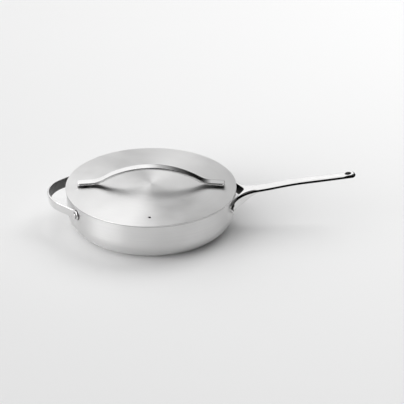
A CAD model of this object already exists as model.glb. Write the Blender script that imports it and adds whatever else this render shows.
"""Saute pan with a lift-off lid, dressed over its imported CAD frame.

Lengths in the classes below are millimetres; meshes are written in metres.
The pan stands on Z = 0, the long handle points along +X and the lid's vent is at -Y.
"""

from __future__ import annotations

import logging
import math
from dataclasses import dataclass, field
from enum import Enum
from typing import Callable, Sequence

import bmesh
import bpy
import numpy as np
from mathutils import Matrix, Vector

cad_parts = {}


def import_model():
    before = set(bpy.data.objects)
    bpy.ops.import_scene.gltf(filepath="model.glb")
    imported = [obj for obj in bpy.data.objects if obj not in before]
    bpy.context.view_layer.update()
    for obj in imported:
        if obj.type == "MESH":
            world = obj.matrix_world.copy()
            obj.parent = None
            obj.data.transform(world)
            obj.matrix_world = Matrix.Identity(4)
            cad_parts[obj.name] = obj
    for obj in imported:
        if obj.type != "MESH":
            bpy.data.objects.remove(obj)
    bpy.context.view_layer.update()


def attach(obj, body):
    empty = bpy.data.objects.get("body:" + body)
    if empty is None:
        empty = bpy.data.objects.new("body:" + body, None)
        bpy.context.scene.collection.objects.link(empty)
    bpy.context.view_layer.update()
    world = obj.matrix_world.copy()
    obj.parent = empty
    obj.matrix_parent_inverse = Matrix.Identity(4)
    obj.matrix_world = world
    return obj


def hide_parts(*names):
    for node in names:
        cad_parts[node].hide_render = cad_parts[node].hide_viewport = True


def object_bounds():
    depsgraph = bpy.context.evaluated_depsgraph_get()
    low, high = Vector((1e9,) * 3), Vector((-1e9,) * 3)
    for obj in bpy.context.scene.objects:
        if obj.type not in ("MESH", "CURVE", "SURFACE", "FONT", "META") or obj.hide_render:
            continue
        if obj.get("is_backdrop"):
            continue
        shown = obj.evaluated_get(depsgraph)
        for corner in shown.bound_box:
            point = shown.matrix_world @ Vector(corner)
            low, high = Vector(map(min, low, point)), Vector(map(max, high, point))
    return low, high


LOG = logging.getLogger("saute_pan")
MM = 0.001

# Metres: points nearer than the first are welded, and edges shorter than the second dropped
WELD = 2e-6
SLIVER = 1e-7

# Steps round a small turned piece, and round a quarter circle of a section
ROUND_STEPS = 48
CORNER_STEPS = 7

Surface = Callable[[np.ndarray, np.ndarray], np.ndarray]


class Body(Enum):
    """The two bodies of the object that move apart."""

    PAN = "pan"
    LID = "lid"


class Slot(Enum):
    """The record's material slots."""

    BRUSHED = "brushed_steel"
    POLISHED = "polished_steel"
    CORE = "core_aluminium"


# Plane curves


def straight(start: Sequence[float], end: Sequence[float], count: int) -> np.ndarray:
    """Evenly spaced points on a straight line.

    Args:
        start: First point (two numbers).
        end: Last point (two numbers).
        count: Number of points.

    Returns:
        Array of shape (count, 2): start plus a rising share of end minus start.
    """
    share = np.linspace(0.0, 1.0, count)[:, None]
    return np.asarray(start, float) * (1 - share) + np.asarray(end, float) * share


def bow(centre: Sequence[float], radius: float, first: float, last: float, count: int) -> np.ndarray:
    """Points on an arc: centre plus radius times (cos a, sin a), a running evenly.

    Args:
        centre: Middle of the arc.
        radius: Its radius.
        first: First angle in degrees.
        last: Last angle in degrees.
        count: Number of points.

    Returns:
        Array of shape (count, 2).
    """
    angle = np.radians(np.linspace(first, last, count))
    return np.stack([centre[0] + radius * np.cos(angle), centre[1] + radius * np.sin(angle)], 1)


def chain(*pieces: np.ndarray) -> np.ndarray:
    """Plane curves joined end to end, with repeated points left out.

    Args:
        pieces: The curves, in order.

    Returns:
        Array of shape (n, 2).
    """
    points = np.concatenate(pieces)
    step = np.linalg.norm(np.diff(points, axis=0), axis=1)
    return points[np.concatenate([[True], step > 1e-6])]


def run_length(points: np.ndarray) -> np.ndarray:
    """Length along a polyline at each of its points, from zero."""
    return np.concatenate([[0.0], np.cumsum(np.linalg.norm(np.diff(points, axis=0), axis=1))])


def at_length(points: np.ndarray, length: np.ndarray) -> np.ndarray:
    """Points of a polyline at given lengths along it, each coordinate interpolated."""
    along = run_length(points)
    return np.stack([np.interp(length, along, points[:, k]) for k in range(points.shape[1])], -1)


def natural_cubic(x: np.ndarray, y: np.ndarray) -> Callable[[np.ndarray], np.ndarray]:
    """A curve through points whose bending is zero at both ends.

    Args:
        x: Rising places of the points.
        y: Their heights.

    Returns:
        A function that gives the height at any place. Between two points the height is
        a cubic whose second slopes solve the usual three-term equations.
    """
    step = np.diff(x)
    slope = np.diff(y) / step
    size = len(x)
    matrix = np.eye(size)
    inner = np.arange(1, size - 1)
    matrix[inner, inner - 1] = step[:-1]
    matrix[inner, inner] = 2 * (step[:-1] + step[1:])
    matrix[inner, inner + 1] = step[1:]
    right = np.zeros(size)
    right[1:-1] = 6 * np.diff(slope)
    bend = np.linalg.solve(matrix, right)

    def height(place: np.ndarray) -> np.ndarray:
        """Height of the curve.

        Args:
            place: Where it is wanted.

        Returns:
            The height there.
        """
        place = np.asarray(place, float)
        k = np.clip(np.searchsorted(x, place) - 1, 0, size - 2)
        left, rest, width = place - x[k], x[k + 1] - place, step[k]
        curve = (bend[k] * rest**3 + bend[k + 1] * left**3) / (6 * width)
        line = (y[k] / width - bend[k] * width / 6) * rest
        return curve + line + (y[k + 1] / width - bend[k + 1] * width / 6) * left

    return height


# Surfaces


@dataclass
class Hole:
    """A round hole through a sheet whose surface is a function of two parameters."""

    p: float
    q: float
    radius: float
    p_scale: float
    q_scale: float
    margin: float = 1.7

    @property
    def bevel(self) -> float:
        """Width of the small bevel at each end of the hole."""
        return min(0.25, self.radius * 0.1)

    def reach(self, p: np.ndarray, q: np.ndarray) -> tuple[int, int, int, int]:
        """Rows and columns of a grid that just enclose the hole, some radii wide.

        Args:
            p: Row values of the grid.
            q: Column values of the grid.

        Returns:
            First row, last row, first column and last column.
        """
        half = self.margin * self.radius
        half_p, half_q = half / self.p_scale, half / self.q_scale
        rows = (np.searchsorted(p, self.p - half_p) - 1, np.searchsorted(p, self.p + half_p))
        columns = (np.searchsorted(q, self.q - half_q) - 1, np.searchsorted(q, self.q + half_q))
        return (*rows, *columns)

    def frame(self, p: np.ndarray, q: np.ndarray) -> np.ndarray:
        """Closed loop of grid points round the block that encloses the hole, shape (n, 2).

        Args:
            p: Row values of the grid.
            q: Column values of the grid.

        Returns:
            Parameter points, the last equal to the first.
        """
        i0, i1, j0, j1 = self.reach(p, q)
        low = np.stack([np.full(j1 - j0, p[i0]), q[j0:j1]], 1)
        right = np.stack([p[i0:i1], np.full(i1 - i0, q[j1])], 1)
        high = np.stack([np.full(j1 - j0, p[i1]), q[j1:j0:-1]], 1)
        left = np.stack([p[i1:i0:-1], np.full(i1 - i0, q[j0])], 1)
        loop = np.concatenate([low, right, high, left])
        return np.concatenate([loop, loop[:1]])

    def ring(self, loop: np.ndarray, radius: float) -> np.ndarray:
        """Points of a circle round the hole's middle, one towards each point of a loop.

        Args:
            loop: Parameter points round the hole.
            radius: Radius of the circle in millimetres.

        Returns:
            Parameter points: middle plus radius times the unit direction of each loop point.
        """
        offset = (loop - [self.p, self.q]) * [self.p_scale, self.q_scale]
        unit = offset / np.linalg.norm(offset, axis=1)[:, None]
        return np.array([self.p, self.q]) + unit * radius / np.array([self.p_scale, self.q_scale])


@dataclass
class Skin:
    """Surface grids that are welded into one closed mesh."""

    points: list[np.ndarray] = field(default_factory=list)
    quads: list[np.ndarray] = field(default_factory=list)
    finishes: list[np.ndarray] = field(default_factory=list)
    total: int = 0

    def add(self, grid: np.ndarray, keep: np.ndarray | None = None, finish: int | np.ndarray = 0) -> None:
        """Adds a grid of points as quads.

        Args:
            grid: Points of shape (rows, columns, 3), in millimetres.
            keep: Optional mask of shape (rows - 1, columns - 1); False leaves a quad out.
            finish: Number of the material, for all quads, for each row of quads or for each quad.
        """
        rows, columns = grid.shape[:2]
        index = np.arange(rows * columns).reshape(rows, columns) + self.total
        corners = [index[:-1, :-1], index[:-1, 1:], index[1:, 1:], index[1:, :-1]]
        quads = np.stack(corners, -1)
        wanted = np.ones(quads.shape[:2], bool) if keep is None else keep
        self.quads.append(quads[wanted])
        marks = finish if np.ndim(finish) == 2 else np.reshape(finish, (-1, 1))
        self.finishes.append(np.broadcast_to(marks, quads.shape[:2])[wanted])
        self.points.append(grid.reshape(-1, 3))
        self.total += rows * columns

    def add_mirrored(self, grid: np.ndarray, axis: int = 1, finish: int | np.ndarray = 0) -> None:
        """Adds a grid and its mirror image across the plane where one coordinate is zero.

        Args:
            grid: Points of shape (rows, columns, 3), in millimetres.
            axis: Number of the coordinate that changes sign.
            finish: Number of the material, as in add.
        """
        self.add(grid, None, finish)
        other = grid.copy()
        other[..., axis] *= -1
        self.add(other, None, finish)

    def add_sheet(
        self, top: Surface, under: Surface, p: np.ndarray, q: np.ndarray, holes: Sequence[Hole]
    ) -> None:
        """Adds both faces of a sheet with round holes, and the walls of the holes.

        Each hole's wall runs from a small bevel on one face to a small bevel on the other,
        along straight lines between the two faces.

        Args:
            top: One face as a function of the two parameters.
            under: The other face.
            p: Row values.
            q: Column values.
            holes: Holes through both faces.
        """
        keep = np.ones((len(p) - 1, len(q) - 1), bool)
        for hole in holes:
            i0, i1, j0, j1 = hole.reach(p, q)
            keep[i0:i1, j0:j1] = False
        for face in (top, under):
            self.add(face(p[:, None], q[None, :]), keep)
        for hole in holes:
            loop = hole.frame(p, q)
            wide, tight = hole.ring(loop, hole.radius + hole.bevel), hole.ring(loop, hole.radius)
            share = np.linspace(0.0, 1.0, 7)[:, None, None]
            fan = loop * (1 - share) + wide * share
            edges = []
            for face in (top, under):
                self.add(face(fan[..., 0], fan[..., 1]))
                edges.append((face(wide[:, 0], wide[:, 1]), face(tight[:, 0], tight[:, 1])))
            (top_wide, top_tight), (under_wide, under_tight) = edges
            depth = np.linalg.norm(top_tight - under_tight, axis=1).mean()
            cut = min(0.4, hole.bevel / depth)
            steps = [top_wide]
            steps += [top_tight * (1 - s) + under_tight * s for s in (cut, 0.5, 1 - cut)]
            self.add(np.stack(steps + [under_wide]), None, [0, 1, 1, 0])

    def mesh(self, name: str, sharp: float = 50.0) -> bpy.types.Object:
        """Welds the grids, turns the faces outwards and makes the object.

        Args:
            name: Name of the object and its mesh.
            sharp: Edges that turn by more than this many degrees are shaded sharp.

        Returns:
            The finished object at the origin, linked to the scene.
        """
        points = np.concatenate(self.points) * MM
        quads = np.concatenate(self.quads)
        data = bpy.data.meshes.new(name)
        data.vertices.add(len(points))
        data.vertices.foreach_set("co", points.astype(np.float32).ravel())
        data.loops.add(quads.size)
        data.loops.foreach_set("vertex_index", quads.astype(np.int32).ravel())
        data.polygons.add(len(quads))
        data.polygons.foreach_set("loop_start", np.arange(0, quads.size, 4, dtype=np.int32))
        data.polygons.foreach_set("material_index", np.concatenate(self.finishes).astype(np.int32))
        data.update(calc_edges=True)
        shape = bmesh.new()
        shape.from_mesh(data)
        bmesh.ops.remove_doubles(shape, verts=shape.verts, dist=WELD)
        bmesh.ops.dissolve_degenerate(shape, edges=shape.edges, dist=SLIVER)
        bmesh.ops.recalc_face_normals(shape, faces=shape.faces)
        shape.to_mesh(data)
        shape.free()
        data.polygons.foreach_set("use_smooth", np.ones(len(data.polygons), bool))
        data.set_sharp_from_angle(angle=math.radians(sharp))
        data.update()
        piece = bpy.data.objects.new(name, data)
        bpy.context.scene.collection.objects.link(piece)
        return piece


def round_axis(radius: np.ndarray, angle: np.ndarray, height: np.ndarray) -> np.ndarray:
    """Points (r cos a, r sin a, z) for radii, angles and heights that broadcast together."""
    return np.stack(np.broadcast_arrays(radius * np.cos(angle), radius * np.sin(angle), height), -1)


def spun(profile: np.ndarray, angle: np.ndarray) -> np.ndarray:
    """A profile of points (radius, height) turned about the Z axis, through angles in radians."""
    return round_axis(profile[:, :1], angle, profile[:, 1:])


def turned(profile: np.ndarray, origin: np.ndarray, axis: np.ndarray) -> np.ndarray:
    """A profile turned about any axis.

    Args:
        profile: Points (radius, distance along the axis).
        origin: Where distance is zero.
        axis: Direction of the axis.

    Returns:
        Grid: origin plus distance times the axis plus radius times a unit vector square
        to the axis that runs once round it.
    """
    axis = np.asarray(axis, float) / np.linalg.norm(axis)
    side = np.cross(axis, [0.0, 0.0, 1.0] if abs(axis[2]) < 0.9 else [0.0, 1.0, 0.0])
    side /= np.linalg.norm(side)
    other = np.cross(axis, side)
    angle = np.linspace(0.0, 2 * math.pi, ROUND_STEPS + 1)[None, :, None]
    round_it = np.cos(angle) * side + np.sin(angle) * other
    radius, along = profile[:, 0][:, None, None], profile[:, 1][:, None, None]
    return np.asarray(origin, float) + along * axis + radius * round_it


def rounded_section(width: float, depth: float, radii: Sequence[float]) -> np.ndarray:
    """Outline of a rectangle with rounded corners, counter-clockwise and closed.

    Args:
        width: Size along the first axis.
        depth: Size along the second axis.
        radii: Radius of each corner, counter-clockwise from the first quadrant.

    Returns:
        Array of shape (n, 2), the last point equal to the first.
    """
    corners = []
    for k, (across, up) in enumerate(((1, 1), (-1, 1), (-1, -1), (1, -1))):
        middle = (across * (width / 2 - radii[k]), up * (depth / 2 - radii[k]))
        corners.append(bow(middle, radii[k], 90.0 * k, 90.0 * k + 90.0, CORNER_STEPS + 1))
    sides = [straight(corners[k][-1], corners[(k + 1) % 4][0], 6) for k in range(4)]
    return chain(*[part for pair in zip(corners, sides) for part in pair])


def tapered_section(width: float, depth: float, tilt: float, top: float, low: float) -> np.ndarray:
    """Outline of a bar whose sides lean in towards its top, counter-clockwise and closed.

    Args:
        width: Width at the widest place, near the underside.
        depth: Thickness.
        tilt: Angle by which the sides lean in.
        top: Radius of the upper edges.
        low: Radius of the lower edges.

    Returns:
        Array of shape (n, 2), the last point equal to the first.
    """
    low_middle = (width / 2 - low, low - depth / 2)
    lower = bow(low_middle, low, -90.0, math.degrees(tilt), 9)
    rise = depth / 2 - top * (1 - math.sin(tilt)) - lower[-1, 1]
    upper_end = lower[-1] + [-rise * math.tan(tilt), rise]
    top_middle = upper_end - top * np.array([math.cos(tilt), math.sin(tilt)])
    upper = bow(top_middle, top, math.degrees(tilt), 90.0, 7)
    half = chain(straight((0.0, -depth / 2), lower[0], 5), lower, straight(lower[-1], upper[0], 4), upper)
    half = chain(half, straight(upper[-1], (0.0, depth / 2), 5))
    return chain(half, half[::-1] * [-1.0, 1.0])


# Shader nodes


class Sock:
    """A shader output that can be used in arithmetic."""

    def __init__(self, desk: "Desk", socket: bpy.types.NodeSocket | None) -> None:
        """Keeps the output and the tree it is in."""
        self.desk, self.socket = desk, socket

    def _math(self, operation: str, *values: "Sock | float") -> "Sock":
        """A Math node on the values."""
        return self.desk.node("ShaderNodeMath", {"operation": operation}, dict(enumerate(values)))

    def __add__(self, other: "Sock | float") -> "Sock":
        """Sum."""
        return self._math("ADD", self, other)

    def __radd__(self, other: float) -> "Sock":
        """Sum with a number first."""
        return self._math("ADD", other, self)

    def __sub__(self, other: "Sock | float") -> "Sock":
        """Difference."""
        return self._math("SUBTRACT", self, other)

    def __rsub__(self, other: float) -> "Sock":
        """Difference with a number first."""
        return self._math("SUBTRACT", other, self)

    def __mul__(self, other: "Sock | float") -> "Sock":
        """Product."""
        return self._math("MULTIPLY", self, other)

    def __rmul__(self, other: float) -> "Sock":
        """Product with a number first."""
        return self._math("MULTIPLY", other, self)

    def __truediv__(self, other: "Sock | float") -> "Sock":
        """Quotient."""
        return self._math("DIVIDE", self, other)

    def __rtruediv__(self, other: float) -> "Sock":
        """Quotient with a number first."""
        return self._math("DIVIDE", other, self)

    def __pow__(self, other: "Sock | float") -> "Sock":
        """Power."""
        return self._math("POWER", self, other)

    def most(self, other: "Sock | float") -> "Sock":
        """The larger value."""
        return self._math("MAXIMUM", self, other)


class Desk:
    """A node tree and the one method that puts nodes into it."""

    def __init__(self, tree: bpy.types.NodeTree) -> None:
        """Starts from an empty tree."""
        self.tree = tree
        tree.nodes.clear()

    def node(
        self,
        kind: str,
        settings: dict[str, object] | None = None,
        inputs: dict[int | str, object] | None = None,
        output: int | str = 0,
    ) -> Sock:
        """Adds a node.

        Args:
            kind: The node's type.
            settings: Its settings, set first.
            inputs: Values or links by socket.
            output: Which output is handed back.

        Returns:
            The chosen output, wrapped, with nothing in it where the node has no output.
        """
        made = self.tree.nodes.new(kind)
        for name, value in (settings or {}).items():
            setattr(made, name, value)
        for name, value in (inputs or {}).items():
            if isinstance(value, Sock):
                self.tree.links.new(value.socket, made.inputs[name])
            else:
                made.inputs[name].default_value = value
        return Sock(self, made.outputs[output] if len(made.outputs) else None)

    def split(self, vector: Sock) -> list[Sock]:
        """The three coordinates of a vector."""
        first = self.node("ShaderNodeSeparateXYZ", {}, {0: vector})
        return [Sock(self, part) for part in first.socket.node.outputs]

    def noise(self, vector: Sock, scale: float, detail: float = 3.0, rough: float = 0.5) -> Sock:
        """A soft noise between 0 and 1 over a vector.

        Args:
            vector: Where the noise is read.
            scale: Its scale.
            detail: Its detail.
            rough: How strong the fine detail is.

        Returns:
            The noise.
        """
        return self.node(
            "ShaderNodeTexNoise", {}, {"Vector": vector, "Scale": scale, "Detail": detail, "Roughness": rough}
        )

    def between(self, value: Sock, low: float, high: float, to_low: float = 0, to_high: float = 1) -> Sock:
        """A value taken from one range to another and held inside it."""
        inputs = {0: value, 1: low, 2: high, 3: to_low, 4: to_high}
        return self.node("ShaderNodeMapRange", {"clamp": True}, inputs)

    def blend(self, factor: Sock | float, first: object, second: object) -> Sock:
        """Two colours mixed by a factor."""
        return self.node("ShaderNodeMix", {"data_type": "RGBA"}, {0: factor, 6: first, 7: second}, 2)

    def bump(self, height: Sock, strength: float, distance: float) -> Sock:
        """A normal tilted by a height."""
        return self.node("ShaderNodeBump", {}, {"Strength": strength, "Distance": distance, "Height": height})

    def surface(self, inputs: dict[str, object]) -> None:
        """The surface shader with its inputs, and the output that shows it."""
        shader = self.node("ShaderNodeBsdfPrincipled", {}, inputs)
        self.node("ShaderNodeOutputMaterial", {}, {0: shader})


def blank(name: str) -> tuple[bpy.types.Material, Desk, Sock]:
    """A new material, its desk, and the place on the object that its patterns read.

    Args:
        name: Name of the material.

    Returns:
        The material, its desk and the place on the object in metres.
    """
    material = bpy.data.materials.new(name)
    material.use_nodes = True
    desk = Desk(material.node_tree)
    return material, desk, desk.node("ShaderNodeTexCoord", output="Object")


# Finishes

Colour = tuple[float, float, float, float]
WARMTH = 0.004


def grey(level: float, warmth: float = 0.0) -> Colour:
    """A nearly neutral colour; warmth lifts red and lowers blue."""
    return (level * (1 + warmth), level, level * (1 - warmth), 1.0)


def steel(level: float) -> Colour:
    """A steel's grey, a trace warmer than neutral."""
    return grey(level, WARMTH)


@dataclass(frozen=True)
class SpunSteel:
    """Stainless steel brushed in fine circles round the pan's axis."""

    name: str
    dark: Colour = steel(0.72)
    light: Colour = steel(0.78)
    roughness: float = 0.32
    spread: float = 0.04
    stretch: float = 0.87
    turn: float = 0.25
    streaks: tuple[tuple[float, float, float], ...] = ((2600.0, 3.0, 0.55), (620.0, 1.6, 0.45))

    def make(self) -> bpy.types.Material:
        """Builds the material.

        Streaks are noise over (radius, height) at a fine scale and over the direction
        round the axis at a coarse one, so that each streak is a long thin arc.

        Returns:
            The finished material.
        """
        material, desk, place = blank(self.name)
        x, y, z = desk.split(place)
        radius = (x * x + y * y) ** 0.5
        safe = radius.most(0.0005)
        parts = []
        for fine, coarse, weight in self.streaks:
            scaled = {0: radius * fine, 1: z * fine, 2: x / safe * coarse}
            vector = desk.node("ShaderNodeCombineXYZ", {}, scaled)
            inputs = {"Vector": vector, "W": y / safe * coarse, "Scale": 1.0, "Detail": 2.0}
            parts.append(desk.node("ShaderNodeTexNoise", {"noise_dimensions": "4D"}, inputs) * weight)
        streak = parts[0] + parts[1]
        smudge = desk.noise(place, 26.0, 3.0)
        tone = desk.between(streak, 0.25, 0.75)
        colour = desk.blend(tone, self.dark, self.light)
        wear = desk.between(smudge, 0.35, 0.75, -0.03, 0.04)
        half = self.spread / 2
        rough = desk.between(streak, 0.3, 0.7, self.roughness - half, self.roughness + half)
        inputs = {
            "Base Color": colour,
            "Metallic": 1.0,
            "Roughness": rough + wear,
            "Anisotropic": self.stretch,
            "Anisotropic Rotation": self.turn,
            "Tangent": desk.node("ShaderNodeTangent", {"direction_type": "RADIAL", "axis": "Z"}),
            "Normal": desk.bump(streak, 0.02, 0.00002),
        }
        desk.surface(inputs)
        return material


@dataclass(frozen=True)
class PolishedSteel:
    """Buffed stainless steel with faint haze, rubbing marks and finger-worn patches."""

    name: str
    colour: Colour = steel(0.77)
    hazy: Colour = steel(0.71)
    roughness: float = 0.06
    lines: tuple[float, float, float] = (60.0, 900.0, 900.0)

    def make(self) -> bpy.types.Material:
        """Builds the material.

        Rubbing marks are noise over a stretched place, long along X; haze is coarse noise.

        Returns:
            The finished material.
        """
        material, desk, place = blank(self.name)
        stretched = desk.node("ShaderNodeVectorMath", {"operation": "MULTIPLY"}, {0: place, 1: self.lines})
        marks = desk.noise(stretched, 1.0, 2.0)
        haze = desk.noise(place, 55.0, 3.0)
        mask = desk.between(haze, 0.42, 0.72)
        colour = desk.blend(mask * 0.6, self.colour, self.hazy)
        rough = desk.between(marks, 0.3, 0.7, self.roughness - 0.02, self.roughness + 0.03) + mask * 0.05
        bump = desk.bump(marks, 0.03, 0.00003)
        desk.surface({"Base Color": colour, "Metallic": 1.0, "Roughness": rough, "Normal": bump})
        return material


@dataclass(frozen=True)
class DullMetal:
    """Metal as it was rolled or cast: the core's rim, holes and undersides, the loop's inner face."""

    name: str
    colour: Colour = grey(0.74)
    shade: Colour = grey(0.6)

    def make(self) -> bpy.types.Material:
        """Builds the material: coarse mottling in colour and roughness, and a fine grain.

        Returns:
            The finished material.
        """
        material, desk, place = blank(self.name)
        mottle = desk.noise(place, 90.0, 4.0)
        grain = desk.noise(place, 1800.0, 2.0)
        colour = desk.blend(mottle, self.shade, self.colour)
        rough = desk.between(mottle, 0.3, 0.7, 0.38, 0.52)
        bump = desk.bump(grain, 0.1, 0.00005)
        desk.surface({"Base Color": colour, "Metallic": 1.0, "Roughness": rough, "Normal": bump})
        return material


@dataclass
class Finishes:
    """The materials of the object, one for each kind of surface, made when an instance is."""

    bowl: bpy.types.Material = field(
        default_factory=SpunSteel("steel_spun_bowl", steel(0.70), steel(0.76), 0.33).make
    )
    inside: bpy.types.Material = field(default_factory=SpunSteel("steel_spun_inside").make)
    lid: bpy.types.Material = field(default_factory=SpunSteel("steel_spun_lid").make)
    cast: bpy.types.Material = field(default_factory=PolishedSteel("steel_polished_handles").make)
    strap: bpy.types.Material = field(
        default_factory=PolishedSteel("steel_polished_strap", steel(0.79), steel(0.74), 0.15).make
    )
    core: bpy.types.Material = field(default_factory=DullMetal("aluminium_core").make)
    raw: bpy.types.Material = field(
        default_factory=DullMetal("steel_unbuffed", grey(0.06), grey(0.035)).make
    )
    inside_face: bpy.types.Material = field(
        default_factory=DullMetal("steel_tumbled", grey(0.22), grey(0.15)).make
    )


def settle(
    piece: bpy.types.Object,
    materials: Sequence[bpy.types.Material],
    body: Body,
    slot: Slot,
    *nodes: str,
) -> bpy.types.Object:
    """Dresses a piece, puts it on its body and lets it stand for CAD nodes.

    Args:
        piece: The finished object.
        materials: Its materials, in the order of the numbers on its faces.
        body: The body that it moves with.
        slot: The record's slot for its finish.
        nodes: CAD nodes that it replaces.

    Returns:
        The same object.
    """
    for material in materials:
        piece.data.materials.append(material)
    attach(piece, body.value)
    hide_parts(*nodes)
    LOG.info("%s: %d faces for %s", piece.name, len(piece.data.polygons), ", ".join(nodes))
    return piece


# Pan


@dataclass
class Bowl:
    """The clad bowl: outer skin, core and inner skin as three bonded sheets."""

    rim: float = 151.0
    height: float = 71.2
    corner: float = 37.0
    lean: float = math.radians(1.0)
    skins: tuple[float, float, float, float] = (0.0, 0.6, 2.2, 2.7)
    rivet_height: float = 55.5
    rivet_radius: float = 3.13
    rivet_angles: tuple[float, ...] = (-18.4, 18.4, 150.1, 209.9)
    wall_points: int = 12

    def wall(self, height: float | np.ndarray, inset: float = 0.0) -> float | np.ndarray:
        """Radius of the wall at a height, for a surface set in by inset."""
        return self.rim - (self.height - height) * math.tan(self.lean) - inset / math.cos(self.lean)

    def profile(self, inset: float) -> np.ndarray:
        """One surface of the bowl from the axis to the rim: base line, corner arc, leaning wall.

        Args:
            inset: Distance in from the outer surface.

        Returns:
            Points (radius, height).
        """
        radius = self.corner - inset
        middle = (self.wall(self.corner, inset) - radius / math.cos(self.lean), self.corner)
        bend = bow(middle, radius, -90.0, -math.degrees(self.lean), 33)
        base = straight((0.0, inset), bend[0], 24)
        wall = straight(bend[-1], (self.wall(self.height, inset), self.height), self.wall_points)
        return chain(base, bend, wall)

    def sheet(self, name: str, outer: float, inner: float) -> bpy.types.Object:
        """One sheet between two surfaces, with its rivet holes.

        Both surfaces are the profile turned about Z, at radius R(s) and height Z(s) for a
        run s along it, and the rim is the short strip between their ends.

        Args:
            name: Name of the piece.
            outer: Inset of the outer surface.
            inner: Inset of the inner surface.

        Returns:
            The finished object.
        """
        outside, inside = self.profile(outer), self.profile(inner)
        share = np.linspace(0.0, 1.0, len(outside))
        angle = np.radians(np.linspace(-100.0, 260.0, 289))

        def face(line: np.ndarray) -> Surface:
            """One surface of the sheet, over the share of the run and the angle."""
            radius, height = line.T
            return lambda p, q: round_axis(np.interp(p, share, radius), q, np.interp(p, share, height))

        steps = self.wall_points
        place = np.interp(self.rivet_height, outside[-steps:, 1], share[-steps:])
        step = (outside[-1, 1] - outside[-2, 1]) / (share[-1] - share[-2])
        radius = self.wall(self.rivet_height)
        holes = [Hole(place, math.radians(a), self.rivet_radius, step, radius) for a in self.rivet_angles]
        skin = Skin()
        skin.add_sheet(face(outside), face(inside), share, angle, holes)
        skin.add(spun(straight(outside[-1], inside[-1], 3), angle))
        return skin.mesh(name)

    def build(self, finishes: Finishes) -> None:
        """Makes and dresses the three sheets.

        Args:
            finishes: The object's materials.
        """
        names = ("pan_outer_shell", "pan_core", "pan_inner_shell")
        materials = (finishes.bowl, finishes.core, finishes.inside)
        slots = (Slot.BRUSHED, Slot.CORE, Slot.BRUSHED)
        for k, (name, material, slot) in enumerate(zip(names, materials, slots)):
            piece = self.sheet(name + "_skin", self.skins[k], self.skins[k + 1])
            settle(piece, (material, finishes.raw), Body.PAN, slot, name)


@dataclass
class Rivets:
    """Two rivets that hold one handle: domed outer head, shank and low inner head."""

    name: str
    node: str
    angles: tuple[float, float]
    seat: float
    bowl: Bowl
    shank: float = 3.1
    head: float = 5.8
    rise: float = 2.4
    inner_head: float = 6.4
    inner_rise: float = 1.8
    inner_gap: float = 0.08
    dark_edge: float = 0.46

    def profile(self) -> np.ndarray:
        """Radius against distance from the pan's axis, from the inner head's top to the outer's.

        Returns:
            Points (radius, distance).
        """
        inner = self.bowl.wall(self.bowl.rivet_height, self.bowl.skins[-1]) - self.inner_gap
        return chain(
            self.dome(self.inner_head, self.inner_rise, inner, -1.0)[::-1],
            straight((self.inner_head, inner), (self.shank, inner), 4),
            straight((self.shank, inner), (self.shank, self.seat), 4),
            straight((self.shank, self.seat), (self.head, self.seat), 4),
            self.dome(self.head, self.rise, self.seat, 1.0),
        )

    @staticmethod
    def dome(radius: float, rise: float, base: float, way: float) -> np.ndarray:
        """A head's profile from its edge to its top: a short rounded edge, then a wide arc.

        Args:
            radius: Radius of the head.
            rise: Its height.
            base: Distance of its seat.
            way: 1 for a head that points outward, -1 for one that points inward.

        Returns:
            Points (radius, distance).
        """
        edge = 0.35 * rise
        low = bow((radius - edge, base), edge, 0.0, 62.0, 7)
        span, lift = low[-1, 0], rise - (low[-1, 1] - base)
        ball = (span**2 + lift**2) / (2 * lift)
        first = math.degrees(math.asin(span / ball))
        top = bow((0.0, base + rise - ball), ball, 90.0 - first, 90.0, 14)
        line = chain(low, top)
        line[:, 1] = base + (line[:, 1] - base) * way
        return line

    def build(self, finishes: Finishes) -> None:
        """Makes both rivets as one piece.

        Args:
            finishes: The object's materials.
        """
        skin, profile = Skin(), self.profile()
        rim = (profile[:-1, 0] > self.head - self.dark_edge) & (profile[:-1, 1] >= self.seat)
        for angle in np.radians(self.angles):
            outward = np.array([math.cos(angle), math.sin(angle), 0.0])
            head = turned(profile, np.array([0.0, 0.0, self.bowl.rivet_height]), outward)
            skin.add(head, None, rim.astype(int))
        settle(skin.mesh(self.name), (finishes.cast, finishes.raw), Body.PAN, Slot.POLISHED, self.node)


@dataclass(frozen=True)
class Stations:
    """Plan points and directions at every cross-section of the long handle."""

    outer: np.ndarray
    outward: np.ndarray
    inner: np.ndarray
    edge: np.ndarray
    way: np.ndarray
    lips: np.ndarray


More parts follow.
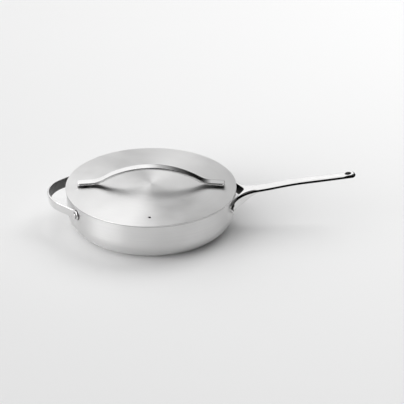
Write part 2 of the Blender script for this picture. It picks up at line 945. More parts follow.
@dataclass
class LongHandle:
    """The cast long handle: two deep legs on the wall that merge into one slim rising bar.

    The handle is a strip of cross-sections. Each runs from an inner line (the hang hole, the
    centre line, then the edge of the fork's mouth) to the outline of the plan, down the side
    and back under. The mouth and the hole get strips of their own, and all is mirrored.
    """

    bowl: Bowl
    tip: float = 364.0
    tip_half: float = 8.5
    tip_corner: float = 6.5
    root_half: float = 10.3
    leg_radius: float = 45.0
    pad: float = 4.5
    pad_half: float = 8.8
    rivet: float = math.radians(18.4)
    mouth: float = 165.2
    mouth_radius: float = 12.0
    mouth_half: float = 39.0
    thick: float = 6.4
    hole: float = 5.3
    hole_place: float = 350.67
    hole_lip: float = 0.6
    hole_points: int = 33
    hole_reach: float = 15.0
    root_height: float = 68.6
    bar_rise: float = 33.0
    line_shares: tuple[tuple[float, float], ...] = (
        (-0.15, -0.19), (0.0, 0.0), (0.19, 0.205), (0.43, 0.505), (0.66, 0.71), (1.0, 1.0)
    )
    haunch_shares: tuple[float, float, float] = (0.19, 0.32, 0.52)
    haunch_start: float = 1.0
    foot_drop: float = 9.0
    apex_side: tuple[float, float] = (187.0, 10.6)
    turn_side: tuple[float, float] = (180.6, 12.0)
    leg_start: float = math.radians(9.0)
    cap_start: float = math.radians(11.0)
    cap_lift: float = 6.0
    edge: float = 3.5
    end_round: float = 1.4
    side_drop: float = 5.8
    leg_drop_share: float = 0.55
    bevel_tilt: float = math.radians(16.0)
    bevel_gain: float = math.radians(24.0)
    under: float = 0.5
    lip: float = 1.2

    def __post_init__(self) -> None:
        """Works out the lines that the sections follow."""
        length = self.tip - self.mouth
        run_share, rise_share = np.array(self.line_shares).T
        heights = self.root_height + rise_share * self.bar_rise
        self.top_line = natural_cubic(self.mouth + run_share * length, heights)
        self.pad_radius = self.bowl.wall(self.bowl.rivet_height) + self.pad
        self.leg_y = self.root_half + self.leg_radius
        self.leg_x = math.sqrt((self.pad_radius + self.leg_radius) ** 2 - self.leg_y**2)
        self.touch = math.atan2(self.leg_y, self.leg_x)
        self.end = self.rivet + math.asin(self.pad_half / self.pad_radius)
        self.wall = self.bowl.wall(self.bowl.rivet_height - self.foot_drop)
        self.haunch = self.haunch_line()

    def haunch_line(self) -> np.ndarray:
        """Side line of the underside from a leg to the bar: a cubic curve through two pull points.

        Returns:
            Points (x, height).
        """
        join_share, leave_share, meet_share = self.haunch_shares
        start, bottom = self.bowl.rim + self.haunch_start, self.bowl.rivet_height - self.pad_half
        join = self.mouth + join_share * (self.tip - self.mouth)
        height = float(self.top_line(join)) - self.thick
        slope = float(self.top_line(join + 0.5) - self.top_line(join - 0.5))
        reach = join - start
        pull = meet_share * reach / math.hypot(1, slope)
        ends = [(start, bottom), (join, height)]
        pulls = [(start + leave_share * reach, bottom), (join - pull, height - slope * pull)]
        points = np.array([ends[0], *pulls, ends[1]])
        t = np.linspace(0, 1, 60)[:, None]
        weights = np.concatenate([(1 - t) ** 3, 3 * t * (1 - t) ** 2, 3 * t**2 * (1 - t), t**3], 1)
        return weights @ points

    def bottom_line(self, x: np.ndarray) -> np.ndarray:
        """Height of the underside: the haunch near the wall, then the bar's thickness below its top."""
        near = np.interp(x, self.haunch[:, 0], self.haunch[:, 1])
        return np.where(x < self.haunch[-1, 0], near, self.top_line(x) - self.thick)

    def outline(self) -> np.ndarray:
        """Half of the plan from the middle of the tip, along the side and the leg, to the pad's end.

        Returns:
            Plan points of shape (n, 2).
        """
        corner = (self.tip - self.tip_corner, self.tip_half - self.tip_corner)
        pad = bow((0, 0), self.pad_radius, math.degrees(self.touch), math.degrees(self.end), 60)
        return chain(
            straight((self.tip, 0.0), (self.tip, corner[1]), 12),
            bow(corner, self.tip_corner, 0, 90, 40),
            straight((corner[0], self.tip_half), (self.leg_x, self.root_half), 300),
            bow((self.leg_x, self.leg_y), self.leg_radius, -90, math.degrees(self.touch) - 180, 160),
            pad,
        )

    def mouth_edge(self) -> tuple[np.ndarray, np.ndarray]:
        """Edge of the fork's mouth from its apex to the pad's end, and the way into the metal there.

        Returns:
            Plan points, and a unit direction at each.
        """
        middle = self.mouth - self.mouth_radius
        angle = math.asin(self.mouth_half / self.wall)
        corner = np.array([self.wall * math.cos(angle), self.mouth_half])
        towards = math.atan2(corner[1], corner[0] - middle)
        reach = math.hypot(corner[1], corner[0] - middle)
        turn = math.degrees(towards - math.acos(self.mouth_radius / reach))
        round_end = bow((middle, 0), self.mouth_radius, 0, turn, 12)
        leg = straight(round_end[-1], corner, 44)
        end = math.degrees(self.end)
        pad = bow((0, 0), self.wall, math.degrees(angle), end, 30)
        points = np.concatenate([round_end, leg[1:], pad[1:]])
        ways = np.concatenate([np.linspace(0, turn, 12), np.full(43, turn), np.linspace(turn, end, 29)])
        return points, self.facing(np.radians(ways))

    @staticmethod
    def facing(angle: np.ndarray) -> np.ndarray:
        """Plan directions (cos a, sin a)."""
        return np.stack([np.cos(angle), np.sin(angle)], 1)

    def hole_ways(self) -> np.ndarray:
        """Directions from the hang hole's middle, half round from the tip."""
        return self.facing(np.radians(np.linspace(0, 180, self.hole_points)))

    def stations(self) -> Stations:
        """Inner and outer points of every section in plan, hole first, then the bar, then the mouth.

        Returns:
            The points and directions of all sections.
        """
        outline = self.outline()
        run = run_length(outline)
        hole = np.array([self.hole_place, 0.0]) + (self.hole + self.hole_lip) * self.hole_ways()
        side = run < self.tip - self.mouth
        side_start = float(np.interp(self.hole_reach - self.hole_place, -outline[side, 0], run[side]))
        hole_run = np.linspace(0, side_start, self.hole_points)
        edge, way = self.mouth_edge()
        start = self.mouth + self.lip
        bar_x = np.linspace(hole[-1, 0], start, 90)[1:-1]
        bar = np.stack([bar_x, np.zeros_like(bar_x)], 1)
        sides = (self.apex_side, self.turn_side)
        apex_run, turn_run = (float(run[np.argmin(np.hypot(*(outline - side).T))]) for side in sides)
        bar_run = np.interp(bar_x, [start, hole[-1, 0]], [apex_run, side_start])
        meets = math.asin(self.mouth_half / self.wall)
        polar = np.arctan2(outline[:, 1], outline[:, 0])
        near = run > turn_run
        leg_run = float(run[near][np.argmin(np.abs(polar[near] - meets))])
        pad_polar = np.linspace(meets, self.end, 30)[1:]
        pad_run = np.interp(pad_polar, polar[near], run[near])
        round_run, side_run = np.linspace(apex_run, turn_run, 12), np.linspace(turn_run, leg_run, 44)[1:]
        runs = np.concatenate([hole_run, bar_run, round_run, side_run, pad_run])
        lips = np.minimum(self.lip, np.linspace(self.lip, 0.25, len(edge)))
        inner = np.concatenate([hole, bar, edge + way * lips[:, None]])
        ahead = at_length(outline, runs + 0.05) - at_length(outline, runs - 0.05)
        outward = np.stack([ahead[:, 1], -ahead[:, 0]], 1)
        outward /= np.linalg.norm(outward, axis=1)[:, None]
        return Stations(at_length(outline, runs), outward, inner, edge, way, lips)

    def heights(self, points: np.ndarray) -> tuple[np.ndarray, np.ndarray]:
        """Top and bottom of the metal over plan points.

        Past each rivet the pad ends in a half circle: its half height there is the square
        root of the pad's half height squared less the distance past the rivet squared.

        Args:
            points: Plan points of shape (..., 2).

        Returns:
            Heights of the top and of the underside.
        """
        x, y = points[..., 0], points[..., 1]
        top, bottom = self.top_line(x), self.bottom_line(x)
        polar = np.arctan2(np.abs(y), x)
        past = np.clip((polar - self.rivet) * self.pad_radius, 0, self.pad_half)
        half = np.sqrt(np.clip(self.pad_half**2 - past**2, 0, None))
        near = np.clip((polar - self.cap_start) / (self.rivet - self.cap_start), 0, 1)
        cap = self.bowl.rivet_height + half + (1 - near * near * (3 - 2 * near)) * self.cap_lift
        leg = polar > self.leg_start
        top = np.where(leg, np.minimum(top, cap), top)
        bottom = np.where(leg, np.maximum(bottom, self.bowl.rivet_height - half), bottom)
        return top, bottom

    def build(self, finishes: Finishes) -> None:
        """Makes the handle.

        The side's upper part leans in by a constant tilt below a small rounded edge, and
        the underside's edge is a quarter circle: at angle a it is set in by r (1 - sin a)
        and raised by r (1 - cos a). The last section's upper and lower points meet.

        Args:
            finishes: The object's materials.
        """
        lines = self.stations()
        outer, inner, way = lines.outer, lines.inner, lines.outward
        span = np.sum((outer - inner) * way, axis=1)[:, None]
        top_out, bottom_out = self.heights(outer)
        tall = (top_out - bottom_out)[:, None]
        polar = np.arctan2(outer[:, 1], outer[:, 0])[:, None]
        tilt = self.bevel_tilt + self.bevel_gain * (1.0 - np.abs(way[:, 1:]))
        reach = self.side_drop * (self.leg_drop_share + (1 - self.leg_drop_share) * np.abs(way[:, 1:]))
        insets, drops = self.side_profile(tilt, span, np.minimum(reach, 0.92 * tall))
        low_r = np.minimum(np.minimum(self.under, span * 0.3), tall * 0.25)
        left = np.clip((self.end - polar) * self.pad_radius, 0, self.end_round)
        taper = self.end_round - np.sqrt(np.clip(self.end_round**2 - (self.end_round - left) ** 2, 0, None))
        outer = outer - way * taper
        span = span - taper
        rows: list[np.ndarray] = []

        def point(plan: np.ndarray, height: np.ndarray) -> None:
            """Adds one line of points along the handle."""
            rows.append(np.concatenate([plan, height.reshape(-1, 1)], 1))

        shoulder, sole = outer - way * insets[0], outer - way * low_r
        for share in np.linspace(0, 1, 7)[:-1]:
            plan = inner + (shoulder - inner) * share
            point(plan, self.heights(plan)[0])
        for inset, drop in zip(insets, drops):
            plan = outer - way * inset
            point(plan, self.heights(plan)[0][:, None] - drop)
        high = self.heights(outer)[0][:, None] - drops[-1]
        low = bottom_out[:, None] + low_r
        for share in (0.2, 0.5, 0.8):
            point(outer, high * (1 - share) + low * share)
        quarter = np.linspace(0, math.pi / 2, 11)
        for a in quarter[::-2]:
            plan = outer - way * low_r * (1 - math.sin(a))
            point(plan, self.heights(plan)[1][:, None] + low_r * (1 - math.cos(a)))
        for share in np.linspace(1, 0, 7)[1:]:
            plan = inner + (sole - inner) * share
            point(plan, self.heights(plan)[1])
        grid = np.stack(rows)
        grid[:, -1] = (grid[:, -1] + grid[::-1, -1]) / 2
        skin = Skin()
        skin.add_mirrored(grid)
        mouth = self.lip_strip(lines.edge, lines.way, lines.lips[:, None], quarter)
        skin.add_mirrored(mouth, 1, [0] * 5 + [1] * 4 + [0] * 5)
        facing = self.hole_ways()
        rim = np.array([self.hole_place, 0.0]) + facing * self.hole
        hole = self.lip_strip(rim, facing, np.full((self.hole_points, 1), self.hole_lip), quarter)
        skin.add_mirrored(hole, 1, [0] + [1] * 13)
        piece = skin.mesh("main_handle_cast", 60.0)
        settle(piece, (finishes.cast, finishes.raw), Body.PAN, Slot.POLISHED, "main_handle")

    def side_profile(
        self, tilt: np.ndarray, span: np.ndarray, whole: np.ndarray
    ) -> tuple[np.ndarray, np.ndarray]:
        """Insets and drops from the outer top corner: a rounded edge, the leaning flat, a soft foot.

        The normal's angle above level runs from 90 degrees down to the tilt on the edge,
        and from the tilt to level on the foot. Each arc is its radius times the change of
        the angle's cosine (inset) and sine (drop). With the whole drop d and the tilt t,
        an edge of radius r takes the inset d tan t + r (1 - sin t) / cos t.

        Args:
            tilt: Tilt of the leaning flat at every section, in radians.
            span: Width of every section.
            whole: Whole drop of every section.

        Returns:
            Insets and drops, each of shape (points, sections, 1).
        """
        room = (0.85 * span - whole * np.tan(tilt)) * np.cos(tilt) / (1 - np.sin(tilt))
        edge = np.minimum(np.clip(room, 0.4, self.edge), 0.6 * whole / (1 - np.sin(tilt)))
        foot = np.minimum(0.3, 0.2 * whole)
        bevel = (whole - edge * (1 - np.sin(tilt)) - foot * np.sin(tilt)) / np.cos(tilt)
        share = np.linspace(0.0, 1.0, 9)[:, None, None]
        first = math.pi / 2 * (1 - share) + tilt * share
        last = tilt * (1 - np.linspace(0.0, 1.0, 4)[1:, None, None])
        along = np.linspace(0.0, 1.0, 6)[1:, None, None]
        start = edge * np.cos(tilt) + bevel * np.sin(tilt) + foot * (1 - np.cos(tilt))
        inset = start - edge * np.cos(first)
        drop = edge * (1 - np.sin(first))
        flat_inset = inset[-1:] - bevel * np.sin(tilt) * along
        flat_drop = drop[-1:] + bevel * np.cos(tilt) * along
        foot_inset = foot * (1 - np.cos(last))
        foot_drop = flat_drop[-1:] + foot * (np.sin(tilt) - np.sin(last))
        return np.concatenate([inset, flat_inset, foot_inset]), np.concatenate([drop, flat_drop, foot_drop])

    def lip_strip(
        self, edge: np.ndarray, way: np.ndarray, radius: np.ndarray, quarter: np.ndarray
    ) -> np.ndarray:
        """Wall of an opening with a rounded lip at its top and bottom.

        Args:
            edge: Plan points of the wall.
            way: Direction into the metal at each.
            radius: Lip radius at each.
            quarter: Angles of the quarter circle.

        Returns:
            Grid from the top of the lip, down the wall, to the bottom of the lower lip.
        """
        rows = []
        top, bottom = self.heights(edge + way * radius)
        radius_z = np.minimum(radius, (top - bottom)[:, None] * 0.45)
        for a in quarter[::2]:
            plan = edge + way * radius * (1 - math.sin(a))
            rows.append(np.concatenate([plan, top[:, None] - radius_z * (1 - math.cos(a))], 1))
        high, low = top[:, None] - radius_z, bottom[:, None] + radius_z
        for share in (0.15, 0.5, 0.85):
            rows.append(np.concatenate([edge, high * (1 - share) + low * share], 1))
        for a in quarter[::-2]:
            plan = edge + way * radius * (1 - math.sin(a))
            rows.append(np.concatenate([plan, bottom[:, None] + radius_z * (1 - math.cos(a))], 1))
        return np.stack(rows)


@dataclass
class HelperHandle:
    """The helper handle: a strap bent to a loop, leaning outward at its top, with round feet."""

    bowl: Bowl
    reach: float = 33.3
    tip_radius: float = 61.0
    half_turn: float = math.radians(47.3)
    bend: float = 12.0
    thick: float = 3.4
    height: float = 18.0
    flare: float = 2.4
    setback: float = 6.0
    edge: float = 0.6
    brow: float = 2.4
    rim_slope: float = 0.22
    slope_end: float = math.radians(22.0)
    slope_fade: float = math.radians(6.0)
    wall_gap: float = 0.02

    @property
    def foot(self) -> float:
        """Radius of a foot's outer face."""
        return self.bowl.wall(self.bowl.rivet_height) + self.thick

    def bend_middle(self, shift: float) -> np.ndarray:
        """Middle of the reverse bend, which touches both the loop and the foot, for a loop moved outward.

        Args:
            shift: How far the loop is moved outward.

        Returns:
            Plan point, for a handle that points along +X.
        """
        normal = np.array([math.cos(self.half_turn), math.sin(self.half_turn)])
        along = np.array([-normal[1], normal[0]])
        out = (self.bowl.rim + self.reach + shift - self.tip_radius) * normal[0] + self.tip_radius + self.bend
        return normal * out - along * math.sqrt((self.foot + self.bend) ** 2 - out**2)

    def path(self, inset: float, shift: float, runs: dict[str, int]) -> np.ndarray:
        """Plan line of the strap at one inset from its outer face, from the tip to a foot's end.

        The loop's tip is an arc, then come a straight arm, a reverse bend and an arc on the
        wall. Every inset moves each arc's radius and keeps its middle.

        Args:
            inset: Distance in from the outer face.
            shift: How far the loop is moved outward at this height.
            runs: Number of points of each part.

        Returns:
            Plan points, for a handle that points along +X.
        """
        tip = self.bowl.rim + self.reach + shift - self.tip_radius
        middle = self.bend_middle(shift)
        turn = math.degrees(math.atan2(middle[1], middle[0]))
        half = math.degrees(self.half_turn)
        loop = bow((tip, 0), self.tip_radius - inset, 0, half, runs["tip"])
        bend = bow(middle, self.bend + inset, half + 180, turn + 180, runs["bend"])
        arm = straight(loop[-1], bend[0], runs["arm"])
        end = math.degrees(self.foot_angle()[1])
        share = np.sin(np.linspace(0, math.pi / 2, runs["foot"]))
        angles = np.radians(turn + (end - turn) * share)
        sole = (self.foot - inset) * np.stack([np.cos(angles), np.sin(angles)], 1)
        return np.concatenate([loop, arm[1:], bend[1:], sole[1:]])

    def foot_angle(self) -> tuple[float, float]:
        """Angles of a rivet and of its foot's end from the handle's centre line.

        Returns:
            The two angles in radians.
        """
        middle = self.bend_middle(0.0)
        rivet = math.atan2(middle[1], middle[0]) + self.setback / self.foot
        return rivet, rivet + math.asin(self.height / 2 / self.foot)

    def build(self, finishes: Finishes) -> None:
        """Makes the strap: its section's outline carried along the path.

        Past each rivet the section's height shrinks as a half circle, and its thickness
        as a small rounded edge. Round the loop the edges slope down and outward.

        Args:
            finishes: The object's materials.
        """
        runs = {"tip": 40, "arm": 16, "bend": 14, "foot": 40}
        section = rounded_section(self.thick, self.height, (self.brow, self.edge, self.edge, self.brow))
        rivet, end = self.foot_angle()
        columns = []
        for depth, rise in section:
            line = self.path(self.thick / 2 - depth, self.flare * rise / self.height, runs)
            polar = np.arctan2(line[:, 1], line[:, 0])
            past = np.clip((polar - rivet) * self.foot, 0, self.height / 2)
            half = np.sqrt(np.clip((self.height / 2) ** 2 - past**2, 0, None))
            left = np.clip((end - polar) * self.foot, 0, 1.0)
            thin = 1.0 - np.sqrt(np.clip(1.0 - (1.0 - left) ** 2, 0, None))
            outward = line / np.linalg.norm(line, axis=1)[:, None]
            line = line - outward * (thin * (depth > 0))[:, None]
            free = np.clip((self.slope_end - polar) / self.slope_fade, 0, 1)
            height = self.bowl.rivet_height + rise * half / (self.height / 2)
            height = height - depth * self.rim_slope * free
            radius = np.linalg.norm(line, axis=1)
            least = self.bowl.wall(height) + self.wall_gap
            on_wall = polar > rivet - 0.05
            line = np.where((on_wall & (radius < least))[:, None], line * (least / radius)[:, None], line)
            columns.append(np.column_stack([-line[:, 0], line[:, 1], height]))
        middles = (section[:-1] + section[1:]) / 2
        inside = (middles[:, 0] < 0.08 - self.thick / 2).astype(int)
        rim = np.abs(middles[:, 1]) > self.height / 2 - 0.1
        marks = np.repeat(inside[:, None], len(columns[0]) - 1, 1)
        marks[rim, -runs["foot"] :] = 2
        skin = Skin()
        skin.add_mirrored(np.stack(columns), 1, marks)
        piece = skin.mesh("helper_handle_strap", 60.0)
        materials = (finishes.cast, finishes.inside_face, finishes.raw)
        settle(piece, materials, Body.PAN, Slot.POLISHED, "helper_handle")


# Lid


@dataclass
class Lid:
    """The shallow domed lid with its folded hem, vent and locating ring."""

    radius: float = 152.5
    seat: float = 71.5
    hem_height: float = 2.5
    hem_width: float = 4.0
    rise: float = 6.5
    sheet: float = 1.0
    vent: float = 2.4
    vent_place: float = 123.0
    screw_place: float = 119.0
    screw_hole: float = 2.1
    ring_outer: float = 147.6
    ring_sheet: float = 0.8
    ring_flange: float = 10.0
    ring_bottom: float = 64.2
    ring_bend: float = 1.6
    weld_gap: float = 0.05
    hem_corner: float = 0.35
    hem_bead: float = 1.1
    crease: float = 2.2
    fold_gap: float = 0.05
    fold_step: float = 0.3
    hidden_rise: float = 1.09

    @property
    def ball(self) -> float:
        """Radius of the sphere that the dome is cut from."""
        return (self.radius**2 + self.rise**2) / (2 * self.rise)

    def dome(self, radius: np.ndarray | float, drop: float = 0.0) -> np.ndarray | float:
        """Height over a radius: the ball's middle plus the root of ball squared less radius squared."""
        middle = self.seat + self.hem_height + self.rise - self.ball
        return middle + np.sqrt((self.ball - drop) ** 2 - np.asarray(radius, float) ** 2)

    def face(self, drop: float) -> Surface:
        """The dome as a function of radius and angle, lower by a drop."""
        return lambda p, q: round_axis(p, q, self.dome(p, drop))

    def panel(self, finishes: Finishes) -> None:
        """The dome's two faces with three holes, and the hem rolled under its edge.

        Args:
            finishes: The object's materials.
        """
        inner = self.radius - self.hem_width
        radii = np.concatenate([[0.0, 1.0, 2.5, 5.0], np.linspace(9.0, inner, 66)])
        angle = np.radians(np.linspace(-45.0, 315.0, 289))
        holes = [Hole(self.vent_place, math.radians(270.0), self.vent, 1.0, self.vent_place)]
        holes += [Hole(self.screw_place, a, self.screw_hole, 1.0, self.screw_place) for a in (0.0, math.pi)]
        skin = Skin()
        skin.add_sheet(self.face(0.0), self.face(self.sheet), radii, angle, holes)
        fold = self.fold(inner)
        hidden = (fold[:-1, 1] < self.seat + self.hidden_rise).astype(int)
        skin.add(spun(fold, angle), None, hidden)
        piece = skin.mesh("lid_panel_sheet")
        settle(piece, (finishes.lid, finishes.raw), Body.LID, Slot.BRUSHED, "lid_panel")

    def fold(self, inner: float) -> np.ndarray:
        """Profile of the hem: out over the edge, down round the bead, in below it and back up to the dome.

        Args:
            inner: Radius where the hem leaves the dome's upper face, and meets its lower one.

        Returns:
            Points (radius, height).
        """
        small, large, lap = self.hem_corner, self.hem_bead, self.sheet / 2
        edge, turn = self.radius - large, inner + lap
        outer = np.linspace(inner, self.radius - small, 10)
        top = np.stack([outer, self.dome(outer)], 1)
        crease = inner + self.crease
        low = self.seat + self.sheet
        corners = [(turn, low), (crease, low + self.fold_gap), (crease, low + self.fold_gap + self.fold_step)]
        meets = [(radius, float(self.dome(radius, self.sheet))) for radius in (inner + self.sheet, inner)]
        return chain(
            top,
            bow((self.radius - small, top[-1, 1] - small), small, 90.0, 0.0, 7),
            bow((edge, self.seat + large), large, 0.0, -90.0, 10),
            straight((edge, self.seat), (turn, self.seat), 4),
            bow((turn, self.seat + lap), lap, 270.0, 90.0, 10),
            straight(corners[0], corners[1], 3),
            straight(corners[1], corners[2], 2),
            straight(corners[2], meets[0], 3),
            straight(meets[0], meets[1], 3),
        )

    def ring(self, finishes: Finishes) -> None:
        """The locating ring: a flange under the dome, a bend and a skirt with rounded ends.

        Args:
            finishes: The object's materials.
        """
        gap = self.sheet + self.weld_gap
        inner = self.ring_outer - self.ring_flange
        bend = self.ring_bend
        radii = np.linspace(inner, self.ring_outer - bend, 8)
        top = np.stack([radii, self.dome(radii, gap)], 1)
        high = top[-1, 1] - bend
        lip = self.ring_sheet / 2
        low = self.ring_bottom + lip
        outer_bend = bow((self.ring_outer - bend, high), bend, 90.0, 0.0, 9)
        inner_bend = bow((self.ring_outer - bend, high), bend - self.ring_sheet, 0.0, 90.0, 9)
        back = radii[::-1]
        under = np.stack([back, self.dome(back, gap + self.ring_sheet)], 1)
        under[0] = inner_bend[-1]
        wall = self.ring_outer - lip
        profile = chain(
            top,
            outer_bend,
            straight(outer_bend[-1], (self.ring_outer, low), 4),
            bow((wall, low), lip, 0.0, -180.0, 9),
            straight((self.ring_outer - self.ring_sheet, low), inner_bend[0], 4),
            inner_bend,
            under,
            straight(under[-1], top[0], 3),
        )
        skin = Skin()
        skin.add(spun(profile, np.linspace(0.0, 2 * math.pi, 257)))
        piece = skin.mesh("lid_locating_ring_sheet")
        settle(piece, (finishes.inside,), Body.LID, Slot.BRUSHED, "lid_locating_ring")

    def lean(self) -> float:
        """Slope of the dome at the screws."""
        return math.asin(self.screw_place / self.ball)

    def build(self, finishes: Finishes) -> None:
        """Makes the panel and the ring."""
        self.panel(finishes)
        self.ring(finishes)


@dataclass
class LidHandle:
    """The bridge strap over the lid with its spacers and screws."""

    lid: Lid
    rise: float = 34.0
    crown: float = 167.0
    valley: float = 43.0
    width: float = 16.0
    thick: float = 4.0
    corner: float = 4.5
    edge: float = 0.6
    inset: float = 12.0
    tilt: float = math.radians(14.0)
    rim: float = 1.7
    rim_pinch: float = 0.6
    end_pinch: float = 0.9
    under_rise: float = 0.35
    spacer: float = 5.0
    spacer_height: float = 2.6
    spacer_round: float = 0.3
    shank: float = 2.0
    grip: float = 2.8
    tip_bevel: float = 0.4
    head: float = 4.0
    head_height: float = 2.2
    head_round: float = 1.1
    socket: float = 1.4
    socket_floor: float = 1.25
    socket_depth: float = 1.2
    socket_rim: float = 0.1
    seat_gap: float = 0.02

    def side_line(self) -> tuple[np.ndarray, np.ndarray]:
        """Upper line of the strap in the XZ plane from its middle to one end, and its upward normals.

        Returns:
            Points (x, height), and a unit normal at each.
        """
        lean = self.lid.lean()
        away, along = np.array([math.sin(lean), math.cos(lean)]), np.array([math.cos(lean), -math.sin(lean)])
        seat = np.array([self.lid.screw_place, float(self.lid.dome(self.lid.screw_place))])
        foot = seat + away * (self.spacer_height + self.thick)
        top = self.lid.seat + self.lid.hem_height + self.lid.rise + self.rise
        middle = np.array([0.0, top - self.crown])
        reach = self.crown + self.valley
        turn = math.acos(((foot - middle) @ away + self.valley) / reach) + lean
        hollow = middle + reach * np.array([math.sin(turn), math.cos(turn)])
        degrees = math.degrees(turn)
        arch = bow(middle, self.crown, 90.0, 90.0 - degrees, 48)
        dip = bow(hollow, self.valley, -90.0 - degrees, -90.0 - math.degrees(lean), 20)
        end = foot + along * self.inset
        near_end = 1.0 - np.cos(np.linspace(0, math.pi / 2, 22))
        sole = dip[-1] + (end - dip[-1]) * (1 - near_end[::-1])[:, None]
        arch_normal = (arch - middle) / self.crown
        dip_normal = (hollow - dip) / self.valley
        line = np.concatenate([arch, dip[1:], sole[1:]])
        normal = np.concatenate([arch_normal, dip_normal[1:], np.tile(away, (len(sole) - 1, 1))])
        return line, normal

    def strap(self, finishes: Finishes) -> None:
        """The strap: its section's outline carried along the side line.

        Towards the ends the width shrinks along the plan's rounded corners, and within the
        last edge radius the thickness shrinks too, so that the end face has rounded edges.

        Args:
            finishes: The object's materials.
        """
        line, normal = self.side_line()
        run = run_length(line)
        left = run[-1] - run
        corner = np.clip(left, 0, self.corner)
        half = self.width / 2 - self.corner + np.sqrt(self.corner**2 - (self.corner - corner) ** 2)
        close = np.clip(left, 0, self.edge)
        pinch = self.edge - np.sqrt(np.clip(self.edge**2 - (self.edge - close) ** 2, 0, None))
        section = tapered_section(self.width, self.thick, self.tilt, self.edge, self.edge)
        across, depth = section[:, 0], section[:, 1]
        core = self.width / 2 - self.rim
        flat = np.minimum(np.abs(across), core)
        over = np.abs(across) - flat
        wide = flat[:, None] * ((half - self.rim) / core)
        wide = wide + over[:, None] * (1 - self.rim_pinch * pinch / self.edge)
        y = np.sign(across)[:, None] * wide
        pinch = self.end_pinch * pinch
        rise = (depth[:, None] - self.thick / 2) * (1 - 2 * pinch / self.thick) - pinch
        x, z = (line[:, k] + normal[:, k] * rise for k in (0, 1))
        grid = np.stack(np.broadcast_arrays(x, y, z), -1)
        below = (depth[:-1] + depth[1:]) / 2 < self.under_rise - self.thick / 2
        skin = Skin()
        skin.add_mirrored(grid, 0, below.astype(int))
        cap = grid[:, -1]
        middle = cap[:-1].mean(0)
        share = np.linspace(0, 1, 4)[:, None, None]
        skin.add_mirrored(cap * (1 - share) + middle * share, 0, [1] * 3)
        piece = skin.mesh("lid_handle_strap", 60.0)
        settle(piece, (finishes.strap, finishes.raw), Body.LID, Slot.POLISHED, "lid_handle")

    def washer(self) -> np.ndarray:
        """Closed profile of a spacer, as radius against height over the lid.

        Returns:
            Points (radius, height), the last equal to the first.
        """
        height, bore, small = self.spacer_height, self.lid.screw_hole, self.spacer_round
        wide = self.spacer - small
        return chain(
            straight((bore, 0.0), (wide, 0.0), 4),
            bow((wide, small), small, -90.0, 0.0, 5),
            bow((wide, height - small), small, 0.0, 90.0, 5),
            straight((wide, height), (bore, height), 4),
            straight((bore, height), (bore, 0.0), 4),
        )

    def screw(self) -> np.ndarray:
        """Profile of a screw from the floor of its socket, round the head and up the shank to the tip.

        Returns:
            Points (radius, height).
        """
        seat, top = -self.lid.sheet - self.seat_gap, self.spacer_height + self.grip
        face = seat - self.head_height
        floor = face + self.socket_depth
        mouth, wide = self.socket + self.socket_rim, self.head - self.head_round
        thin = self.shank - self.tip_bevel
        socket = [(0.0, floor), (self.socket_floor, floor), (self.socket, floor - self.socket_rim)]
        socket += [(self.socket, face + self.socket_rim), (mouth, face)]
        return chain(
            np.array(socket),
            straight((mouth, face), (wide, face), 3),
            bow((wide, face + self.head_round), self.head_round, -90.0, 0.0, 8),
            straight((self.head, face + self.head_round), (self.head, seat), 2),
            straight((self.head, seat), (self.shank, seat), 3),
            straight((self.shank, seat), (self.shank, top - self.tip_bevel), 4),
            straight((self.shank, top - self.tip_bevel), (thin, top), 2),
            straight((thin, top), (0.0, top), 3),
        )

    def fittings(self, finishes: Finishes) -> None:
        """Spacers between the lid and the strap, and the screws that hold them from below.

        Args:
            finishes: The object's materials.
        """
        lean, spacers, screws = self.lid.lean(), Skin(), Skin()
        washer, screw = self.washer(), self.screw()
        for way in (-1.0, 1.0):
            axis = np.array([way * math.sin(lean), 0.0, math.cos(lean)])
            seat = np.array([way * self.lid.screw_place, 0.0, float(self.lid.dome(self.lid.screw_place))])
            spacers.add(turned(washer, seat, axis))
            screws.add(turned(screw, seat, axis))
        for skin, name, finish in ((spacers, "spacer", finishes.raw), (screws, "screw", finishes.strap)):
            piece = skin.mesh(f"lid_handle_{name}_pair")
            settle(piece, (finish,), Body.LID, Slot.POLISHED, f"lid_handle_{name}s")

    def build(self, finishes: Finishes) -> None:
        """Makes the strap and its fittings."""
        self.strap(finishes)
        self.fittings(finishes)


# Studio


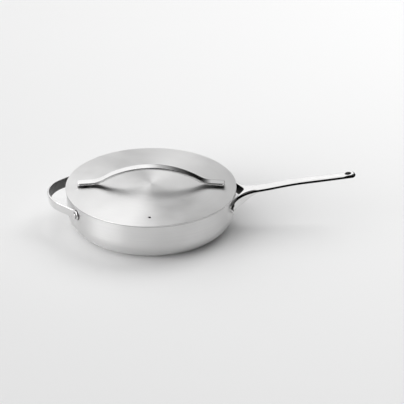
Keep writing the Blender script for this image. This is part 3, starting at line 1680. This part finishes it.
@dataclass
class Studio:
    """Floor, lights, surroundings and camera of the photograph."""

    place: tuple[float, float, float] = (0.0909, -4.4169, 2.3532)
    pitch: float = 27.62
    lens: float = 248.4
    floor_front: float = 0.82
    floor_back: float = 0.865
    ceiling_low: float = 0.17
    ceiling_high: float = 0.27
    ceiling_lower: float = -0.12
    ceiling_raise: float = 0.14
    ceiling: float = 1.1
    horizon: float = 0.005
    left: float = 1.04
    right: float = 0.1
    paper: float = 0.88
    cards: tuple[tuple[tuple[float, float, float], float, float], ...] = (
        ((-0.88, -0.46, 0.2), 0.5, 3.1),
        ((0.08, 0.8, 0.6), 0.25, 0.6),
    )
    lamps: tuple[tuple[str, tuple[float, float, float], float, float, bool], ...] = (
        ("softbox_back", (1.5, 1.3, 2.4), 2.4, 39.5, False),
        ("softbox_over", (-0.85, 0.0, 2.85), 0.4, 3.4, True),
    )

    def camera(self) -> None:
        """The long lens that the photograph was fitted with."""
        data = bpy.data.cameras.new("camera")
        data.lens, data.sensor_width = self.lens, 36.0
        data.clip_start, data.clip_end = 0.1, 100.0
        camera = bpy.data.objects.new("camera", data)
        camera.location = self.place
        camera.rotation_euler = (math.radians(90.0 - self.pitch), 0.0, 0.0)
        bpy.context.scene.collection.objects.link(camera)
        bpy.context.scene.camera = camera

    def floor(self) -> None:
        """A wide pale floor, matt with a faint mottle."""
        skin = Skin()
        line = np.linspace(-12000.0, 12000.0, 9)
        grid = np.stack(np.broadcast_arrays(line[:, None], line[None, :], np.array(-0.05)), -1)
        skin.add(grid)
        floor = skin.mesh("studio_floor")
        if floor.data.polygons[0].normal.z < 0:
            floor.data.flip_normals()
        material, desk, place = blank("floor_paper")
        depth = desk.between(desk.split(place)[1], -0.9, 0.9) + desk.noise(place, 3.0, 2.0) * 0.06
        colour = desk.blend(depth, grey(self.floor_front), grey(self.floor_back))
        desk.surface({"Base Color": colour, "Roughness": 0.9, "Specular IOR Level": 0.1})
        floor.data.materials.append(material)
        floor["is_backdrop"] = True

    def lamp(
        self, name: str, place: tuple[float, float, float], size: float, power: float, mirrored: bool
    ) -> None:
        """A round softbox that faces the pan.

        Args:
            name: Name of the lamp.
            place: Its place in metres.
            size: Its diameter in metres.
            power: Its power in watts.
            mirrored: Whether it shows in mirrored light alone, or else in diffuse light alone.
        """
        data = bpy.data.lights.new(name, "AREA")
        data.shape, data.size, data.energy = "DISK", size, power
        lamp = bpy.data.objects.new(name, data)
        lamp.location = place
        back = np.array(place) - np.array([0.0, 0.0, 0.05])
        across = math.hypot(back[0], back[1])
        lamp.rotation_euler = (math.atan2(across, back[2]), 0.0, math.atan2(back[0], -back[1]))
        lamp.visible_glossy = mirrored
        lamp.visible_diffuse = not mirrored
        bpy.context.scene.collection.objects.link(lamp)

    def surroundings(self) -> None:
        """The room, painted over the direction looked in.

        It is black round the horizon. The ceiling above is white on the left half and dim on
        the right, where its edge is higher. A bright card stands low on the left and a dim
        one behind the pan. The camera's own rays see the room evenly pale.
        """
        world = bpy.data.worlds.new("room")
        bpy.context.scene.world = world
        world.use_nodes = True
        desk = Desk(world.node_tree)
        way = desk.node("ShaderNodeTexCoord", output="Generated")
        x, y, z = desk.split(way)
        rise = z - desk.between(x - y * 0.25, -0.3, 0.12, self.ceiling_lower, self.ceiling_raise)
        ceiling = desk.between(rise, self.ceiling_low, self.ceiling_high, self.horizon, self.ceiling)
        glow = ceiling * desk.between(x, -0.08, 0.08, self.left, self.right)
        for direction, size, power in self.cards:
            unit = np.asarray(direction) / np.linalg.norm(direction)
            inputs = {0: way, 1: tuple(unit)}
            facing = desk.node("ShaderNodeVectorMath", {"operation": "DOT_PRODUCT"}, inputs, 1)
            glow = glow + desk.between(facing, math.cos(size), math.cos(size * 0.6), 0.0, power)
        room = desk.node("ShaderNodeBackground", {}, {0: grey(1.0), 1: glow})
        paper = desk.node("ShaderNodeBackground", {}, {0: grey(self.paper), 1: 1.0})
        seen = desk.node("ShaderNodeLightPath", output="Is Camera Ray")
        shown = desk.node("ShaderNodeMixShader", {}, {0: seen, 1: room, 2: paper})
        desk.node("ShaderNodeOutputWorld", {}, {0: shown})

    def build(self) -> None:
        """Sets the whole studio."""
        self.camera()
        self.floor()
        self.surroundings()
        for lamp in self.lamps:
            self.lamp(*lamp)
        bpy.context.scene.view_settings.view_transform = "Standard"


def corners() -> list[list[float]]:
    """The shown object's box as two plain lists."""
    return [list(corner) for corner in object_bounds()]


def main() -> None:
    """Builds the pan, its lid and the studio."""
    logging.basicConfig(level=logging.INFO, format="%(name)s: %(message)s")
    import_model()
    Studio().build()
    finishes = Finishes()
    bowl = Bowl()
    bowl.build(finishes)
    handle = LongHandle(bowl)
    handle.build(finishes)
    helper = HelperHandle(bowl)
    helper.build(finishes)
    rivet = math.degrees(helper.foot_angle()[0])
    pairs = (
        ("main_handle", bowl.rivet_angles[:2], handle.pad_radius),
        ("helper_handle", (180.0 - rivet, 180.0 + rivet), helper.foot),
    )
    for name, angles, seat in pairs:
        Rivets(f"{name}_rivet_pair", f"{name}_rivets", angles, seat, bowl).build(finishes)
    lid = Lid()
    lid.build(finishes)
    LidHandle(lid).build(finishes)


if __name__ == "__main__":
    main()
